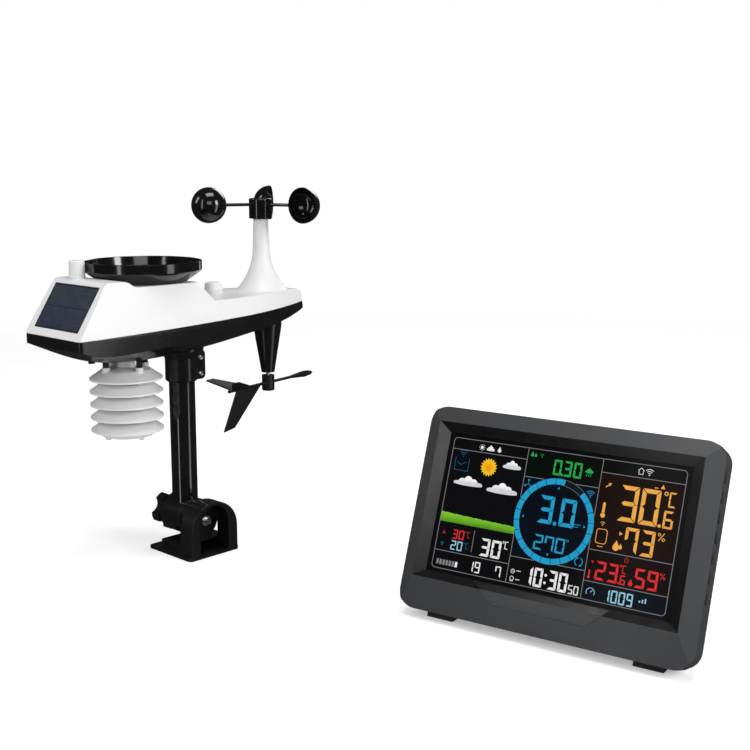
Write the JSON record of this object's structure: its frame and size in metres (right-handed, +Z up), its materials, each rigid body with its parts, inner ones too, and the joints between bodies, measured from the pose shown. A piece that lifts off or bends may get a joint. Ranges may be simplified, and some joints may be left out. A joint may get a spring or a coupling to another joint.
{
  "type": "home weather station",
  "caption": "Outdoor weather sensor with wind cups, vane, rain funnel, solar panel and louvred shield on a tilting mast bracket, with a separate colour display console on a fold-out stand.",
  "frame": {"origin": "on the mast's axis, at the underside of the mast's bracket", "axes": "+Z up; the sensor's solar nose points along -Y; +X towards the console, whose screen faces -Y, turned 10 degrees towards +X"},
  "size_m": [0.6117, 0.344, 0.3702],
  "materials": {
    "black_plastic": "satin moulded black plastic",
    "gloss_black": "gloss moulded black plastic",
    "white_plastic": "satin moulded white plastic",
    "steel": "bright plated steel",
    "solar_cell": "dark solar cell under clear resin",
    "console_grey": "satin dark grey moulded plastic",
    "display": "black display glass with coloured segments",
    "backlight": "white light guide",
    "board": "green circuit board",
    "rubber": "soft black rubber",
    "cell": "wrapped dry cell",
    "magnet": "sintered magnet",
    "brass": "plain brass"
  },
  "bodies": {
    "bracket": {"mounting_bracket": "black_plastic", "pivot_bolt": "steel"},
    "knob": {"clamp_knob": "black_plastic"},
    "mast": {"mast_foot": "black_plastic", "mast_tube": "gloss_black"},
    "head": {"mast_collar": "black_plastic", "collar_screws": "steel", "lower_shell": "gloss_black", "upper_shell": "white_plastic", "shell_seal": "rubber", "shell_screws": "steel", "solar_panel": "solar_cell", "antenna_post": "white_plastic", "light_sensor_dome": "white_plastic", "rain_chamber": "black_plastic", "bucket_axle": "steel", "rain_sensor_board": "board", "rotor_bearings": "brass", "wind_speed_board": "board", "vane_housing": "black_plastic", "vane_bearings": "brass", "wind_direction_board": "board", "shield_roof": "white_plastic", "shield_plates": "white_plastic", "shield_standoffs": "black_plastic", "th_sensor_board": "board", "main_board": "board", "battery_cells": "cell", "battery_contacts": "brass"},
    "funnel": {"rain_funnel": "gloss_black", "debris_screen": "black_plastic"},
    "bucket": {"tipping_bucket": "white_plastic", "bucket_magnet": "magnet"},
    "rotor": {"cup_rotor": "gloss_black", "rotor_shaft": "steel", "rotor_magnet": "magnet"},
    "vane": {"wind_vane": "black_plastic", "vane_shaft": "steel", "vane_magnet": "magnet"},
    "hatch": {"battery_door": "gloss_black"},
    "reset": {"reset_button": "black_plastic"},
    "console": {"front_bezel": "console_grey", "rear_cover": "console_grey", "lcd_panel": "display", "backlight_panel": "backlight", "console_board": "board", "console_cells": "cell", "dc_jack": "black_plastic", "rubber_feet": "rubber", "cover_screws": "steel", "stand_pin": "steel"},
    "stand": {"fold_out_stand": "console_grey"},
    "console_door": {"console_battery_door": "console_grey"},
    "key_1": {"button_1": "console_grey"},
    "key_2": {"button_2": "console_grey"},
    "key_3": {"button_3": "console_grey"},
    "key_4": {"button_4": "console_grey"},
    "key_5": {"button_5": "console_grey"},
    "key_6": {"button_6": "console_grey"},
    "key_7": {"button_7": "console_grey"}
  },
  "joints": [
    {"name": "mast_tilt", "type": "hinge", "parent": "bracket", "child": "mast", "pos_m": [0, 0, 0.034], "axis": [1, 0, 0], "range_deg": [-90, 90]},
    {"name": "knob_turn", "type": "hinge", "parent": "bracket", "child": "knob", "pos_m": [-0.026, 0, 0.034], "axis": [1, 0, 0], "continuous": true},
    {"name": "head_swivel", "type": "hinge", "parent": "mast", "child": "head", "pos_m": [0, 0, 0.2], "axis": [0, 0, 1], "continuous": true},
    {"name": "funnel_lift", "type": "slide", "parent": "head", "child": "funnel", "axis": [0, 0, 1], "range_m": [0, 0.06]},
    {"name": "bucket_rock", "type": "hinge", "parent": "head", "child": "bucket", "pos_m": [0, -0.043, 0.228], "axis": [1, 0, 0], "range_deg": [-36, 0]},
    {"name": "rotor_spin", "type": "hinge", "parent": "head", "child": "rotor", "pos_m": [0, 0.11, 0.3515], "axis": [0, 0, 1], "continuous": true},
    {"name": "vane_spin", "type": "hinge", "parent": "head", "child": "vane", "pos_m": [0, 0.117, 0.158], "axis": [0, 0, 1], "continuous": true},
    {"name": "hatch_off", "type": "slide", "parent": "head", "child": "hatch", "axis": [0, 0, -1], "range_m": [0, 0.03]},
    {"name": "reset_press", "type": "slide", "parent": "head", "child": "reset", "axis": [0, 0, 1], "range_m": [0, 0.001]},
    {"name": "console_lift", "type": "slide", "parent": "bracket", "child": "console", "axis": [0, 0, 1], "range_m": [0, 0.2]},
    {"name": "stand_fold", "type": "hinge", "parent": "console", "child": "stand", "pos_m": [0.41864, 0.05638, 0.01071], "axis": [0.9848, 0.1736, 0], "range_deg": [0, 77.38]},
    {"name": "console_door_off", "type": "slide", "parent": "console", "child": "console_door", "axis": [-0.1632, 0.9254, -0.342], "range_m": [0, 0.03]},
    {"name": "key_1_press", "type": "slide", "parent": "console", "child": "key_1", "axis": [-0.9848, -0.1736, 0], "range_m": [0, 0.0008]},
    {"name": "key_2_press", "type": "slide", "parent": "console", "child": "key_2", "axis": [-0.9848, -0.1736, 0], "range_m": [0, 0.0008]},
    {"name": "key_3_press", "type": "slide", "parent": "console", "child": "key_3", "axis": [-0.9848, -0.1736, 0], "range_m": [0, 0.0008]},
    {"name": "key_4_press", "type": "slide", "parent": "console", "child": "key_4", "axis": [-0.9848, -0.1736, 0], "range_m": [0, 0.0008]},
    {"name": "key_5_press", "type": "slide", "parent": "console", "child": "key_5", "axis": [-0.9848, -0.1736, 0], "range_m": [0, 0.0008]},
    {"name": "key_6_press", "type": "slide", "parent": "console", "child": "key_6", "axis": [-0.9848, -0.1736, 0], "range_m": [0, 0.0008]},
    {"name": "key_7_press", "type": "slide", "parent": "console", "child": "key_7", "axis": [-0.9848, -0.1736, 0], "range_m": [0, 0.0008]}
  ]
}
